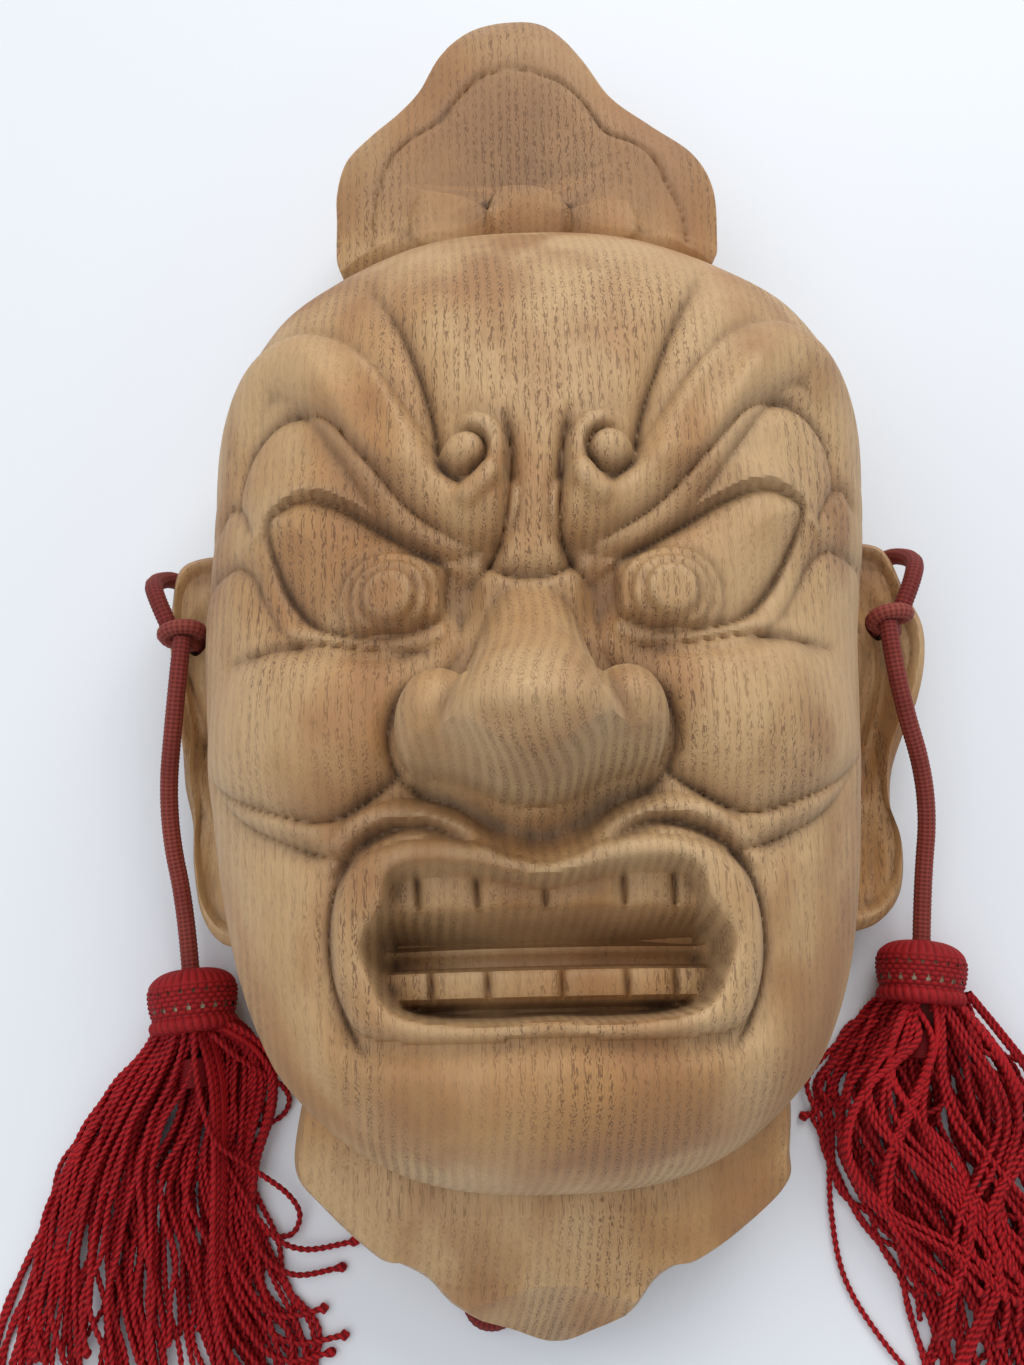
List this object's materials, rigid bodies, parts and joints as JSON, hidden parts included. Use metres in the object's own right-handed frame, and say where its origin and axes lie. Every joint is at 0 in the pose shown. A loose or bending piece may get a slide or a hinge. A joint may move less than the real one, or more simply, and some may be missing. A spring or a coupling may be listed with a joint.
{
  "type": "carved guardian wall mask with tassels",
  "caption": "Carved wooden wall mask of a wrathful temple guardian, hollow behind, hung by a braided cord, with a tassel at each ear.",
  "frame": {"origin": "middle of the carved head's box, on the surface its back rim lies on", "axes": "+X towards the wearer-side right of the face as seen from the front, +Y towards the topknot, +Z out of the face"},
  "size_m": [0.27, 0.383, 0.121],
  "materials": {
    "carved_wood": "bare carved hardwood, hand rubbed",
    "braided_cord": "round braided cord",
    "tassel_strands": "twisted two-ply strands",
    "crocheted_net": "crocheted cotton thread",
    "tassel_former": "plain cream former"
  },
  "bodies": {
    "root": {"carved_head": "carved_wood", "hanging_cord": "braided_cord", "left_ear_loop": "braided_cord", "left_ear_knot": "braided_cord", "left_tassel_cord": "braided_cord", "left_tassel_core": "tassel_former", "left_tassel_cap": "crocheted_net", "left_tassel_collar": "crocheted_net", "left_tassel_stopper_knot": "braided_cord", "left_tassel_binding": "tassel_strands", "left_tassel_skirt": "tassel_strands", "right_ear_loop": "braided_cord", "right_ear_knot": "braided_cord", "right_tassel_cord": "braided_cord", "right_tassel_core": "tassel_former", "right_tassel_cap": "crocheted_net", "right_tassel_collar": "crocheted_net", "right_tassel_stopper_knot": "braided_cord", "right_tassel_binding": "tassel_strands", "right_tassel_skirt": "tassel_strands"}
  },
  "joints": []
}
